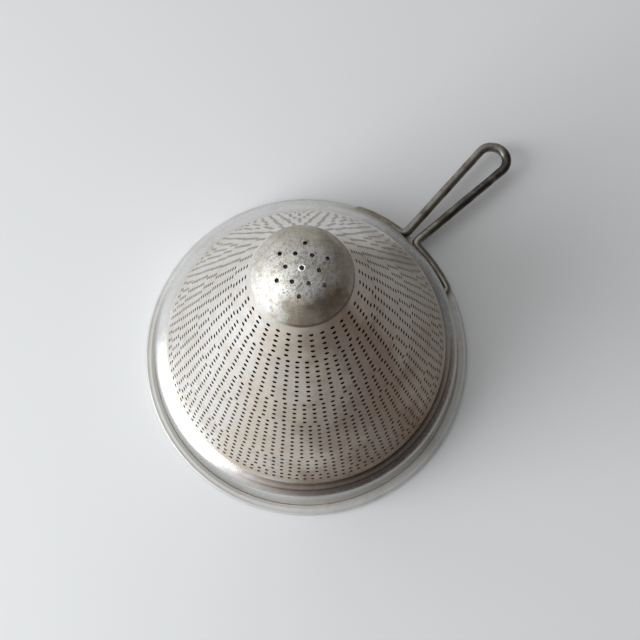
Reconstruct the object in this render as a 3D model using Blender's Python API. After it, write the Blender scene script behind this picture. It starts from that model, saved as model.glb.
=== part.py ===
"""Cone sieve with a bent wire handle, standing upside down on its rolled rim.

Six pieces: a domed tip with thirteen drilled holes, the strainer cone, a polished
collar band, a rolled rim clamped round the band's lip, the steel wire inside the roll,
and one steel wire bent into the handle, whose two ends pass through the band.
Metres, +Z up. The origin is on the table under the centre of the whole object's box.
The handle points along +X, and the sieve's own axis is the upright line at x = AXIS_X.
"""
import math

import bmesh
import bpy
from mathutils import Matrix, Vector

MM = 0.001                      # every dimension below is in millimetres

# Sheet and clearances
SHEET = 1.0                     # wall of the tip, the cone and the band
RIM_SHEET = 0.8                 # wall of the rolled rim
GAP = 0.3                       # space left between pieces that touch

# Strainer cone, outer surface
CONE_TOP_R = 22.7
CONE_TOP_Z = 185.7
CONE_FOOT_Z = 33.0
CONE_SLOPE = 0.3806             # radius gained for each millimetre of drop

# Tip dome
DOME_TOP_Z = 198.3
DOME_EDGE_R = 22.95
DOME_EDGE_Z = 186.0
LIP_TOP_POLAR = 40.0            # the cone's turned-in lip ends here, in degrees from the top
TIP_HOLE_R = 1.0
TIP_HOLE_RINGS = ((15.1, 66.4), (25.6, 36.8))   # degrees from the top, turn of the first hole
TIP_HOLES_PER_RING = 6

# Collar band, outer surface
SHOULDER_SLOPES = (22.0, 45.0)  # degrees from level, at the cone and at the knuckle
SHOULDER_ARC_R = 21.9
KNUCKLE_ARC_R = 3.2
WALL_SLOPE = 81.5
ROOT_Z = 4.2                    # the wall turns out into the lip here
ROOT_FILLET_R = 0.4
ROOT_OVERLAP = 10.0             # degrees left out where the fillet meets the wall
LIP_EDGE_R = 94.4
SPIGOT_HEIGHT = 3.4             # how far the band reaches up inside the cone

# Rolled rim and the wire in it
RIM_R = 98.45
RIM_HEIGHT = 4.9
RIM_WIRE_R = 1.2
LEAF_R = 93.3                   # the roll's upper edge, lying on the band's lip
LEAF_SHAPE = ((0.0, 0.8), (0.0, 0.4), (0.5, 0.1), (1.1, 0.0), (2.0, 0.2))   # out from LEAF_R, down
VALLEY = (0.5, 0.5)             # shallow groove beside the bead: out from the roll's hub, down
BEAD_START = 38.0               # the bead's round starts here, in degrees from the top
HOOK_R = 92.4                   # the roll's lower edge, turned up under the lip
HOOK_EDGE = 0.2                 # how much its foot is rounded

# Handle: one wire of 5.5 mm
WIRE_R = 2.75
ARM_R = 94.9                    # the arms lie along the band at this radius
ARM_END_TURN = 24.0             # degrees from the handle to where each end goes in
CLINCH_R = 87.4                 # the ends are bent over at this radius inside the band
CLINCH_LENGTH = 9.0
NECK_HALF_WIDTH = 4.3
NECK_X = 99.0                   # where the half width is measured
LOOP_R = 9.2
LOOP_REACH = 178.15             # centre of the wire at the loop's far end
LOOP_RISE = 1.2                 # the loop's end lies this much above the arms
TIGHT_BEND = 3.2
NECK_BEND = 4.0
HOLE_CLEARANCE = 0.45

# Smoothness
ROUND_STEPS = 64
DOME_STEPS = 36
RIM_WIRE_SIDES = 8
HOLE_SIDES = 12
DOME_RINGS = 9
ARM_STEPS = 6
LOOP_STEPS = 14
BEND_STEP = 18.0                # degrees of a wire's bend to each short straight piece

# Derived dimensions
AXIS_X = (RIM_R - LOOP_REACH - WIRE_R) / 2
DOME_RISE = DOME_TOP_Z - DOME_EDGE_Z
DOME_R = (DOME_EDGE_R ** 2 + DOME_RISE ** 2) / (2 * DOME_RISE)
DOME_CENTRE_Z = DOME_TOP_Z - DOME_R
CONE_ANGLE = math.atan(CONE_SLOPE)
ARM_Z = RIM_HEIGHT + GAP + WIRE_R
LOOP_CENTRE_X = LOOP_REACH - LOOP_R


def cone_r(z, inset=0.0):
    """Radius of the cone at height z, moved in by inset square to the wall."""
    return CONE_TOP_R + (CONE_TOP_Z - z) * CONE_SLOPE - inset / math.cos(CONE_ANGLE)


def arc(centre, radius, start, end, steps):
    """Points (r, z) on an arc; angles in degrees from straight up, turning outwards."""
    points = []
    for i in range(steps + 1):
        angle = math.radians(start + (end - start) * i / steps)
        points.append((centre[0] + radius * math.sin(angle),
                       centre[1] + radius * math.cos(angle)))
    return points


def polar_of(radius, z):
    """Degrees from the top at which a sphere about the dome's centre reaches height z."""
    return math.degrees(math.acos((z - DOME_CENTRE_Z) / radius))


def level(turn):
    """Level direction at so many degrees from +X."""
    return Vector((math.cos(math.radians(turn)), math.sin(math.radians(turn)), 0))


def clear_scene():
    for obj in list(bpy.data.objects):
        bpy.data.objects.remove(obj)


def metal(name, colour, roughness):
    material = bpy.data.materials.new(name)
    material.use_nodes = True
    shader = material.node_tree.nodes["Principled BSDF"]
    shader.inputs["Base Color"].default_value = (*colour, 1.0)
    shader.inputs["Metallic"].default_value = 1.0
    shader.inputs["Roughness"].default_value = roughness
    return material


def new_object(name, data, material):
    obj = bpy.data.objects.new(name, data)
    bpy.context.scene.collection.objects.link(obj)
    obj.location = (AXIS_X * MM, 0, 0)
    if material:
        data.materials.append(material)
    return obj


def finish_mesh(name, bm, material):
    bmesh.ops.remove_doubles(bm, verts=bm.verts, dist=1e-6)
    bmesh.ops.recalc_face_normals(bm, faces=bm.faces)
    mesh = bpy.data.meshes.new(name)
    bm.to_mesh(mesh)
    bm.free()
    mesh.shade_smooth()
    mesh.set_sharp_from_angle(angle=math.radians(30))
    return new_object(name, mesh, material)


def turned(name, profile, material, steps=ROUND_STEPS, closed=True):
    """Turn a profile of (r, z) points about the sieve's axis."""
    bm = bmesh.new()
    verts = [bm.verts.new((r * MM, 0, z * MM)) for r, z in profile]
    edges = [bm.edges.new(pair) for pair in zip(verts, verts[1:])]
    if closed:
        edges.append(bm.edges.new((verts[-1], verts[0])))
    bmesh.ops.spin(bm, geom=verts + edges, cent=(0, 0, 0), axis=(0, 0, 1),
                   dvec=(0, 0, 0), angle=math.tau, steps=steps, use_merge=True)
    return finish_mesh(name, bm, material)


def drill(target, name, shafts):
    """Cut round holes: each shaft is (middle, direction, radius, length)."""
    bm = bmesh.new()
    for middle, direction, radius, length in shafts:
        turn = direction.to_track_quat("Z", "Y").to_matrix().to_4x4()
        place = Matrix.Translation(middle * MM) @ turn
        bmesh.ops.create_cone(bm, cap_ends=True, segments=HOLE_SIDES, radius1=radius * MM,
                              radius2=radius * MM, depth=length * MM, matrix=place)
    mesh = bpy.data.meshes.new(name)
    bm.to_mesh(mesh)
    bm.free()
    cutter = new_object(name, mesh, None)
    cutter.hide_render = True
    cutter.display_type = "WIRE"
    cut = target.modifiers.new("holes", "BOOLEAN")
    cut.operation = "DIFFERENCE"
    cut.solver = "EXACT"
    cut.object = cutter


def make_tip_dome(material):
    centre = (0, DOME_CENTRE_Z)
    inner_r = DOME_R - SHEET
    profile = arc(centre, inner_r, 0, polar_of(inner_r, DOME_EDGE_Z), DOME_RINGS)
    profile += arc(centre, DOME_R, polar_of(DOME_R, DOME_EDGE_Z), 0, DOME_RINGS)
    dome = turned("tip_dome", profile, material, DOME_STEPS, closed=False)
    middle_r = DOME_R - SHEET / 2
    hub = Vector((0, 0, DOME_CENTRE_Z))
    outs = [Vector((0, 0, 1))]
    for polar, turn in TIP_HOLE_RINGS:
        for i in range(TIP_HOLES_PER_RING):
            around = turn + 360 * i / TIP_HOLES_PER_RING
            outs.append(level(around) * math.sin(math.radians(polar))
                        + Vector((0, 0, math.cos(math.radians(polar)))))
    shafts = [(hub + middle_r * out, out, TIP_HOLE_R, 4 * SHEET) for out in outs]
    drill(dome, "tip_hole_cutter", shafts)


def make_strainer_cone(material):
    """The cone, with a joggled lip that reaches up under the dome."""
    centre = (0, DOME_CENTRE_Z)
    lip_outer = DOME_R - SHEET - GAP
    lip_inner = lip_outer - SHEET
    profile = [(cone_r(CONE_FOOT_Z, SHEET), CONE_FOOT_Z), (cone_r(CONE_FOOT_Z), CONE_FOOT_Z)]
    profile.append((CONE_TOP_R, CONE_TOP_Z))
    profile += arc(centre, lip_outer, polar_of(lip_outer, CONE_TOP_Z), LIP_TOP_POLAR, 3)
    profile += arc(centre, lip_inner, LIP_TOP_POLAR, polar_of(lip_inner, CONE_TOP_Z - SHEET), 3)
    knee_z = CONE_TOP_Z - 2 * SHEET
    profile.append((cone_r(knee_z, SHEET), knee_z))
    turned("strainer_cone", profile, material)


def band_outline(inset):
    """The band's shoulder, knuckle and wall, top to bottom, moved in by inset."""
    first, second = SHOULDER_SLOPES
    start_z = CONE_FOOT_Z - GAP
    start = (cone_r(start_z), start_z)
    hub = (start[0] - SHOULDER_ARC_R * math.sin(math.radians(first)),
           start[1] - SHOULDER_ARC_R * math.cos(math.radians(first)))
    points = arc(hub, SHOULDER_ARC_R - inset, first, second, 4)
    step = SHOULDER_ARC_R - KNUCKLE_ARC_R
    hub = (hub[0] + step * math.sin(math.radians(second)),
           hub[1] + step * math.cos(math.radians(second)))
    points += arc(hub, KNUCKLE_ARC_R - inset, second, WALL_SLOPE, 3)[1:]
    top = points[-1]
    spread = (top[1] - ROOT_Z) / math.tan(math.radians(WALL_SLOPE))
    points.append((top[0] + spread, ROOT_Z))
    return points


def make_collar_band(material):
    """Spigot inside the cone, shoulder, wall, and a lip turned out under the rim."""
    spigot_top = CONE_FOOT_Z + SPIGOT_HEIGHT
    inset = SHEET + GAP
    outer = [(cone_r(spigot_top, inset), spigot_top),
             (cone_r(CONE_FOOT_Z - GAP, inset), CONE_FOOT_Z - GAP)]
    outer += band_outline(0)
    root_r = outer[-1][0]
    hub = (root_r + ROOT_FILLET_R, ROOT_Z)
    outer += arc(hub, ROOT_FILLET_R, -WALL_SLOPE - ROOT_OVERLAP, -180, 3)[1:]
    lip_top = ROOT_Z - ROOT_FILLET_R
    outer.append((LIP_EDGE_R, lip_top))
    inner = [(LIP_EDGE_R, lip_top - SHEET)]
    inner += arc(hub, ROOT_FILLET_R + SHEET, -180, -WALL_SLOPE, 3)[:-1]
    inner += band_outline(SHEET)[::-1]
    inset += SHEET
    inner += [(cone_r(CONE_FOOT_Z - 2 * SHEET, inset), CONE_FOOT_Z - 2 * SHEET),
              (cone_r(spigot_top, inset), spigot_top)]
    band = turned("collar_band", outer + inner, material)
    shafts = []
    for side in (1, -1):
        out = level(side * ARM_END_TURN)
        middle = out * (root_r - SHEET) + Vector((0, 0, ARM_Z))
        shafts.append((middle, out, WIRE_R + HOLE_CLEARANCE, 6 * SHEET))
    drill(band, "wire_hole_cutter", shafts)


def make_rolled_rim(material):
    """A strip clamped over the band's lip and rolled round the rim wire."""
    roll = RIM_HEIGHT / 2
    hub = (RIM_R - roll, roll)
    hook_top = ROOT_Z - ROOT_FILLET_R - SHEET - GAP
    hook_inner_r = HOOK_R + RIM_SHEET
    profile = [(LEAF_R + out, RIM_HEIGHT - down) for out, down in LEAF_SHAPE]
    profile.append((hub[0] + VALLEY[0], RIM_HEIGHT - VALLEY[1]))
    profile += arc(hub, roll, BEAD_START, 180, 6)
    profile += [(hook_inner_r, 0), (HOOK_R + HOOK_EDGE, HOOK_EDGE), (HOOK_R, RIM_SHEET)]
    profile += [(HOOK_R, hook_top), (hook_inner_r, hook_top), (hook_inner_r, RIM_SHEET + HOOK_EDGE)]
    profile += arc(hub, roll - RIM_SHEET, 180, 0, 6)
    turned("rolled_rim", profile, material)


def make_rim_wire(material):
    roll = RIM_HEIGHT / 2
    circle = arc((RIM_R - roll, roll), RIM_WIRE_R, 0, 360, RIM_WIRE_SIDES)[:-1]
    turned("rim_wire", circle, material)


def rounded(corners):
    """Points along a wire given as (corner, bend radius) pairs, each corner an arc."""
    points = [corners[0][0]]
    for (before, _), (corner, radius), (after, _) in zip(corners, corners[1:], corners[2:]):
        back = (before - corner).normalized()
        ahead = (after - corner).normalized()
        turn = math.pi - back.angle(ahead)
        if radius == 0 or turn < 1e-3:
            points.append(corner)
            continue
        reach = radius * math.tan(turn / 2)
        middle = (back + ahead).normalized()
        hub = corner + middle * radius / math.cos(turn / 2)
        steps = max(3, round(math.degrees(turn) / BEND_STEP))
        first = corner + back * reach - hub
        last = corner + ahead * reach - hub
        for i in range(steps + 1):
            points.append(hub + radius * first.slerp(last, i / steps))
    points.append(corners[-1][0])
    return points


def handle_half(side):
    """Corners of one half of the handle, from its clinched end to its leg."""
    out = level(side * ARM_END_TURN)
    along = level(side * (ARM_END_TURN + 90))
    lift = Vector((0, 0, ARM_Z))
    corners = [(out * CLINCH_R + along * CLINCH_LENGTH + lift, 0),
               (out * CLINCH_R + lift, TIGHT_BEND),
               (out * ARM_R + lift, TIGHT_BEND)]
    neck_y = NECK_HALF_WIDTH - (NECK_X - ARM_R) * math.tan(leg_spread())
    neck_turn = math.degrees(math.asin(neck_y / ARM_R))
    for i in range(1, ARM_STEPS):
        turn = side * (ARM_END_TURN + (neck_turn - ARM_END_TURN) * i / ARM_STEPS)
        corners.append((level(turn) * ARM_R + lift, 0))
    corners.append((Vector((ARM_R, side * neck_y, ARM_Z)), NECK_BEND))
    return corners


def leg_spread():
    """Angle between a leg and the handle's middle line, so that it meets the loop smoothly."""
    reach = LOOP_CENTRE_X - NECK_X
    to_side = math.asin(LOOP_R / math.hypot(reach, NECK_HALF_WIDTH))
    return to_side - math.atan2(NECK_HALF_WIDTH, reach)


def make_handle_wire(material):
    spread = leg_spread()
    loop = []
    for i in range(LOOP_STEPS + 1):
        angle = math.pi / 2 + spread - (math.pi + 2 * spread) * i / LOOP_STEPS
        x = LOOP_CENTRE_X + LOOP_R * math.cos(angle)
        rise = LOOP_RISE * (x - ARM_R) / (LOOP_REACH - ARM_R)
        loop.append((Vector((x, LOOP_R * math.sin(angle), ARM_Z + rise)), 0))
    points = rounded(handle_half(1) + loop + handle_half(-1)[::-1])
    curve = bpy.data.curves.new("handle_wire", "CURVE")
    curve.dimensions = "3D"
    curve.bevel_depth = WIRE_R * MM
    curve.bevel_resolution = 3
    curve.use_fill_caps = True
    spline = curve.splines.new("POLY")
    spline.points.add(len(points) - 1)
    for spot, point in zip(spline.points, points):
        spot.co = (*(point * MM), 1.0)
    new_object("handle_wire", curve, material)


def main():
    clear_scene()
    dull = metal("stained_aluminium", (0.55, 0.54, 0.52), 0.42)
    matte = metal("matte_aluminium", (0.66, 0.64, 0.60), 0.5)
    polished = metal("polished_aluminium", (0.78, 0.78, 0.78), 0.16)
    steel = metal("dark_steel", (0.22, 0.20, 0.17), 0.35)
    make_tip_dome(dull)
    make_strainer_cone(matte)
    make_collar_band(polished)
    make_rolled_rim(polished)
    make_rim_wire(steel)
    make_handle_wire(steel)


main()
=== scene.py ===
import math

import bmesh
import bpy
from mathutils import Matrix, Vector, geometry, noise


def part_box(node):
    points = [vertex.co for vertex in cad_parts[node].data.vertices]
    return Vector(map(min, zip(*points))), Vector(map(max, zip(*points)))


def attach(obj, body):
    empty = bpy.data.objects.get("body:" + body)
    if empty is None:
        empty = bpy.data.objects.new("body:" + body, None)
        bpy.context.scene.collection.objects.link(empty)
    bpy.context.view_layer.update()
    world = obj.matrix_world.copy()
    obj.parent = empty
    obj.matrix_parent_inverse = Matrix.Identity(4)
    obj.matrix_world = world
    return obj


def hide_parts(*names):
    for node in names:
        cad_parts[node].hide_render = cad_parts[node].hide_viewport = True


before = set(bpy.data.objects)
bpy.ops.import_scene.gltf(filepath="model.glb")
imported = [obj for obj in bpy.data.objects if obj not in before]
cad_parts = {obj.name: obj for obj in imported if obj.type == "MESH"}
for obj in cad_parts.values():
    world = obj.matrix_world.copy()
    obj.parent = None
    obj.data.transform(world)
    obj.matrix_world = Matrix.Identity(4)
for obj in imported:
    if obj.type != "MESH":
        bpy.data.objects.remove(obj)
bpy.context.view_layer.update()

MM = 0.001
WIRE_R = 2.75                   # half the thickness of the handle's wire
VIEW_TURN = math.radians(-44.1)  # from the camera's own axes to the handle's frame

# ---------------------------------------------------------------- places from the frame
rim_low, rim_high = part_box("rolled_rim")
cone_low, cone_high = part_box("strainer_cone")
dome_low, dome_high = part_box("tip_dome")
band_low, band_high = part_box("collar_band")
wire_low, wire_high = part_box("handle_wire")

AXIS = Vector(((rim_low.x + rim_high.x) / 2, (rim_low.y + rim_high.y) / 2, 0))
RIM_R = (rim_high.x - rim_low.x) / 2 / MM
RIM_HEIGHT = rim_high.z / MM
CONE_FOOT_R = (cone_high.x - cone_low.x) / 2 / MM
CONE_FOOT_Z = cone_low.z / MM
DOME_EDGE_R = (dome_high.x - dome_low.x) / 2 / MM
DOME_EDGE_Z = dome_low.z / MM
LIP_EDGE_R = (band_high.x - band_low.x) / 2 / MM
SPIGOT_TOP_Z = band_high.z / MM
LIP_UNDER_Z = band_low.z / MM
ARM_Z = wire_low.z / MM + WIRE_R
LOOP_REACH = (wire_high.x - AXIS.x) / MM - WIRE_R

# ---------------------------------------------------------------- sizes in millimetres
SHEET = 1.0
RIM_SHEET = 0.8
GAP = 0.3
CONE_TOP_R = DOME_EDGE_R - 0.25
CONE_TOP_Z = DOME_EDGE_Z - GAP
CONE_ANGLE = math.atan2(CONE_FOOT_R - CONE_TOP_R, CONE_TOP_Z - CONE_FOOT_Z)
DOME_TOP_Z = 198.3              # before the dome's dents
DOME_R = (DOME_EDGE_R ** 2 + (DOME_TOP_Z - DOME_EDGE_Z) ** 2) / (2 * (DOME_TOP_Z - DOME_EDGE_Z))
DOME_CENTRE_Z = DOME_TOP_Z - DOME_R
LIP_TOP_POLAR = 40.0            # the cone's lip ends here, in degrees from the top
TIP_HOLE_R = 1.0
TIP_HOLE_RINGS = ((15.1, 66.4), (25.6, 36.8))   # degrees from the top, turn of the first hole
TIP_HOLES_PER_RING = 6

BURR_R = 1.35                   # raised ring round the hole at the very top
BURR_SPREAD = 0.35
BURR_HEIGHT = 0.16

HOLE_R = 1.05
WALL = SHEET                    # the wall at the holes
RING_PITCH = 4.554              # along the slope
FOOT_TO_RINGS = 3.13            # plain strip below the lowest ring's cells
HOLE_GROUPS = ((5, 2), (9, 3), (5, 4), (9, 5), (4, 6), (2, 7))   # rings, columns in each sector
SECTORS = 16
PATTERN_TURN = math.radians(-134.1)   # the middle of one sector, from the handle

SHOULDER_SLOPES = (22.0, 45.0)  # degrees from level, at the cone and at the knuckle
SHOULDER_ARC_R = 21.9
KNUCKLE_ARC_R = 3.2
WALL_SLOPE = 81.5
ROOT_FILLET_R = 0.4
ROOT_Z = LIP_UNDER_Z + SHEET + ROOT_FILLET_R   # the wall turns out into the lip here

LEAF_R = 93.3                   # the roll's upper edge, lying on the band's lip
HOOK_R = 92.4                   # the roll's lower edge, turned up under the lip

ARM_R = 94.9                    # the arms lie along the band at this radius
ARM_END_TURN = 24.0             # degrees from the handle to where each end goes in
CLINCH_R = 87.4                 # the ends are bent over at this radius inside the band
CLINCH_LENGTH = 9.0
NECK_HALF_WIDTH = 4.3
NECK_X = 99.0                   # where the half width is measured
LOOP_R = 9.2
LOOP_RISE = 1.2                 # the loop's end lies this much above the arms
TIGHT_BEND = 3.2
NECK_BEND = 4.0
HOLE_CLEARANCE = 0.45
LOOP_CENTRE_X = LOOP_REACH - LOOP_R
LEAN = -0.05                    # the handle is knocked a little to one side
LEAN_START = 117.0              # the handle's line crosses its true place here
ARM_START_X = ARM_R * math.cos(math.radians(ARM_END_TURN))
LOOP_SWELL = 0.08               # share by which the wire is thicker at the loop's end

# fineness of the meshes
ROUND_STEPS = 336
WALL_STEPS = 12
TIP_HOLE_STEPS = 24
COLLAR_RINGS = (1.18, 1.35, 1.55, 1.75)   # rings of points round each tip hole, in hole radii
DOME_RINGS = 34
DOME_EDGE_STEPS = 180
WIRE_SIDES = 20
WIRE_STEP = 2.5
LOOP_STEPS = 36
ARM_STEPS = 14

# camera and window, as seen_from_camera takes them
CAMERA_PLACE = (0, -0.1138, 0.6135)
CAMERA_TURNS = ((12.332, "X"), (-0.859, "Y"), (-2.934, "Z"))   # degrees
LENS = 57.04
WINDOW_PLACE = (-1.28, -0.40, 0.62)
WINDOW_AIM = Vector((0, 0, 0.06))
FLOOR_HALF = 4.0


# ---------------------------------------------------------------- mesh helpers
def add_mesh(name, verts, faces, material, sharp=35):
    """A mesh object from points in millimetres about the sieve's axis."""
    mesh = bpy.data.meshes.new(name)
    mesh.from_pydata([Vector(v) * MM + AXIS for v in verts], [], faces)
    mesh.validate()
    mesh.shade_smooth()
    mesh.set_sharp_from_angle(angle=math.radians(sharp))
    obj = bpy.data.objects.new(name, mesh)
    bpy.context.scene.collection.objects.link(obj)
    mesh.materials.append(material)
    return obj


def place(obj, node):
    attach(obj, "root")
    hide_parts(node)


def arc(centre, radius, start, end, steps):
    """Points (r, z) on an arc; angles in degrees from straight up, turning outwards."""
    points = []
    for i in range(steps + 1):
        angle = math.radians(start + (end - start) * i / steps)
        points.append((centre[0] + radius * math.sin(angle), centre[1] + radius * math.cos(angle)))
    return points


def polar_of(radius, z):
    return math.degrees(math.acos((z - DOME_CENTRE_Z) / radius))


def cone_r(z, inset=0.0):
    return CONE_TOP_R + (CONE_TOP_Z - z) * math.tan(CONE_ANGLE) - inset / math.cos(CONE_ANGLE)


def ripple(x, y, z, size, reach):
    """A smooth hand-made unevenness of up to about size millimetres."""
    return size * noise.noise(Vector((x, y, z)) / reach)


def turned(name, profile, material, uneven):
    """Turn a closed profile of (r, z) points, which is unround by up to about uneven."""
    verts = []
    for i in range(ROUND_STEPS):
        angle = math.tau * i / ROUND_STEPS
        c, s = math.cos(angle), math.sin(angle)
        for r, z in profile:
            wide = r + ripple(r * c, r * s, z, uneven, 34.0)
            verts.append((wide * c, wide * s, z))
    count = len(profile)
    faces = []
    for i in range(ROUND_STEPS):
        here, there = i * count, (i + 1) % ROUND_STEPS * count
        for j in range(count):
            k = (j + 1) % count
            faces.append((here + j, there + j, there + k, here + k))
    obj = add_mesh(name, verts, faces, material)
    outward(obj)
    return obj


def outward(obj):
    """Make every face of a closed mesh face out."""
    bm = bmesh.new()
    bm.from_mesh(obj.data)
    bmesh.ops.recalc_face_normals(bm, faces=bm.faces)
    bm.to_mesh(obj.data)
    bm.free()


def ease_edges(obj, width, sharp):
    """Round the edges that turn by more than sharp degrees."""
    ease = obj.modifiers.new("ease", "BEVEL")
    ease.width = width * MM
    ease.segments = 2
    ease.limit_method = "ANGLE"
    ease.angle_limit = math.radians(sharp)


# ---------------------------------------------------------------- material helpers
class Paint:
    """A node material round one Principled shader, with short calls for its nodes."""

    def __init__(self, name):
        self.material = bpy.data.materials.new(name)
        self.material.use_nodes = True
        self.nodes = self.material.node_tree.nodes
        self.links = self.material.node_tree.links
        self.shader = self.nodes["Principled BSDF"]
        self.shader.inputs["Metallic"].default_value = 1.0
        coords = self.nodes.new("ShaderNodeTexCoord")
        shift = self.nodes.new("ShaderNodeVectorMath")
        shift.operation = "SUBTRACT"
        self.links.new(coords.outputs["Object"], shift.inputs[0])
        shift.inputs[1].default_value = AXIS
        scale = self.nodes.new("ShaderNodeVectorMath")
        scale.operation = "SCALE"
        self.links.new(shift.outputs[0], scale.inputs[0])
        scale.inputs["Scale"].default_value = 1 / MM
        self.point = scale.outputs[0]          # millimetres about the sieve's axis
        self.height = None

    def math(self, operation, a, b=None, c=None):
        node = self.nodes.new("ShaderNodeMath")
        node.operation = operation
        for socket, value in zip(node.inputs, (a, b, c)):
            self.feed(socket, value)
        return node.outputs[0]

    def times(self, a, b):
        return self.math("MULTIPLY", a, b)

    def feed(self, socket, value):
        if value is None:
            return
        if hasattr(value, "is_linked"):
            self.links.new(value, socket)
        else:
            socket.default_value = value

    def round_point(self, along, across):
        """Coordinates that run round the axis, so noise on them makes turning marks."""
        x, y, z = self.split()
        angle = self.math("ARCTAN2", y, x)
        join = self.nodes.new("ShaderNodeCombineXYZ")
        self.links.new(self.times(angle, along), join.inputs[0])
        self.links.new(self.times(self.radius(), across), join.inputs[1])
        self.links.new(self.times(z, across), join.inputs[2])
        return join.outputs[0]

    def radius(self):
        """Distance from the sieve's axis, in millimetres."""
        x, y, _ = self.split()
        return self.math("SQRT", self.math("ADD", self.times(x, x), self.times(y, y)))

    def split(self):
        node = self.nodes.new("ShaderNodeSeparateXYZ")
        self.links.new(self.point, node.inputs[0])
        return node.outputs

    def noise(self, scale, detail=3.0, rough=0.55, point=None, twist=0.0):
        node = self.nodes.new("ShaderNodeTexNoise")
        self.links.new(point or self.point, node.inputs["Vector"])
        node.inputs["Scale"].default_value = scale
        node.inputs["Detail"].default_value = detail
        node.inputs["Roughness"].default_value = rough
        node.inputs["Distortion"].default_value = twist
        return node.outputs[0]

    def ramp(self, value, low, high, start=0.0, end=1.0):
        node = self.nodes.new("ShaderNodeMapRange")
        node.interpolation_type = "SMOOTHSTEP"
        self.feed(node.inputs["Value"], value)
        node.inputs["From Min"].default_value = low
        node.inputs["From Max"].default_value = high
        node.inputs["To Min"].default_value = start
        node.inputs["To Max"].default_value = end
        return node.outputs[0]

    def turns(self):
        """How far round the axis a point is, from the camera's right, as a share of a turn."""
        x, y, _ = self.split()
        angle = self.math("SUBTRACT", self.math("ARCTAN2", y, x), VIEW_TURN)
        return self.math("WRAP", self.times(angle, 1 / math.tau), 1, 0)

    def shaded(self):
        """1 on the side away from the window and 0 elsewhere."""
        return self.times(self.ramp(self.turns(), 0.64, 0.74),
                          self.ramp(self.turns(), 0.96, 1.0, 1.0, 0.4))

    def lit_side(self):
        """1 on the side that faces the window and 0 elsewhere."""
        return self.times(self.ramp(self.turns(), 0.40, 0.48),
                          self.ramp(self.turns(), 0.64, 0.74, 1.0, 0.0))

    def stops(self, value, stops):
        """Colours by value, from (position, colour) pairs."""
        node = self.nodes.new("ShaderNodeValToRGB")
        node.color_ramp.interpolation = "EASE"
        self.links.new(value, node.inputs["Fac"])
        elements = node.color_ramp.elements
        while len(elements) < len(stops):
            elements.new(0.5)
        for element, (position, colour) in zip(elements, stops):
            element.position = position
            element.color = (*colour, 1)
        return node.outputs[0]

    def tint(self, a, b, amount=1.0):
        """Multiply colour a by colour b."""
        node = self.nodes.new("ShaderNodeMix")
        node.data_type = "RGBA"
        node.blend_type = "MULTIPLY"
        self.feed(node.inputs[0], amount)
        self.links.new(a, node.inputs[6])
        self.links.new(b, node.inputs[7])
        return node.outputs[2]

    def mix(self, amount, a, b):
        node = self.nodes.new("ShaderNodeMix")
        node.data_type = "RGBA"
        self.feed(node.inputs[0], amount)
        for socket, value in ((node.inputs[6], a), (node.inputs[7], b)):
            if hasattr(value, "is_linked"):
                self.links.new(value, socket)
            else:
                socket.default_value = (*value, 1.0)
        return node.outputs[2]

    def bump(self, height, distance):
        node = self.nodes.new("ShaderNodeBump")
        node.inputs["Distance"].default_value = distance * MM
        node.inputs["Strength"].default_value = 1.0
        self.links.new(height, node.inputs["Height"])
        if self.height is not None:
            self.links.new(self.height, node.inputs["Normal"])
        self.height = node.outputs[0]

    def finish(self, colour, roughness):
        self.links.new(colour, self.shader.inputs["Base Color"])
        self.feed(self.shader.inputs["Roughness"], roughness)
        if self.height is not None:
            self.links.new(self.height, self.shader.inputs["Normal"])
        return self.material


# ---------------------------------------------------------------- materials
# painted reflection and painted shade round the cone, brown on the side away from the window: share of
# a turn from the camera's right, and what is left there of the metal's colour
CONE_PAINTED_SHADE = ((0.0, (0.56, 0.50, 0.44)), (0.055, (0.62, 0.56, 0.49)), (0.11, (0.80, 0.75, 0.68)),
           (0.17, (1.0, 0.98, 0.96)), (0.61, (1.0, 0.98, 0.95)), (0.667, (0.95, 0.88, 0.80)),
           (0.722, (0.75, 0.70, 0.63)), (0.778, (0.46, 0.39, 0.34)), (0.833, (0.30, 0.23, 0.19)),
           (0.889, (0.27, 0.18, 0.13)), (0.944, (0.44, 0.36, 0.30)), (1.0, (0.56, 0.50, 0.44)))


def matte_aluminium():
    p = Paint("matte_aluminium")
    wander = p.ramp(p.noise(0.02, 4, 0.6), 0.3, 0.7, -0.03, 0.03)
    # painted reflection and painted shade: the cone goes brown and dark on the side away from the
    # window
    cone_shade_colour = p.stops(p.math("WRAP", p.math("ADD", p.turns(), wander), 1, 0), CONE_PAINTED_SHADE)
    clouds = p.noise(0.035, 4, 0.6, twist=0.4)
    colour = p.mix(p.ramp(clouds, 0.35, 0.7), (0.80, 0.80, 0.80), (0.74, 0.71, 0.66))
    blush = p.noise(0.055, 5, 0.65, twist=0.8)
    colour = p.mix(p.ramp(blush, 0.5, 0.72, 0.0, 0.45), colour, (0.66, 0.58, 0.50))
    steely = p.noise(0.08, 5, 0.65)
    colour = p.mix(p.ramp(steely, 0.54, 0.74, 0.0, 0.45), colour, (0.58, 0.60, 0.62))
    darkening = p.noise(0.9, 5, 0.7)
    colour = p.mix(p.ramp(darkening, 0.52, 0.74, 0.0, 0.4), colour, (0.33, 0.28, 0.22))
    colour = p.tint(colour, cone_shade_colour)
    # painted shadow: a near-black line at the cone's top edge under the dome, on the side away from
    # the window
    painted_join_shadow = p.times(p.ramp(p.split()[2], CONE_TOP_Z - 1.5, CONE_TOP_Z - 0.6), p.shaded())
    colour = p.mix(p.times(painted_join_shadow, 0.85), colour, (0.07, 0.055, 0.045))
    rough = p.ramp(p.noise(0.25, 5, 0.65), 0.3, 0.7, 0.38, 0.46)
    p.bump(p.noise(1.2, 4, 0.6), 0.04)
    p.bump(p.noise(0.06, 2), 0.7)
    return p.finish(colour, rough)


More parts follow.
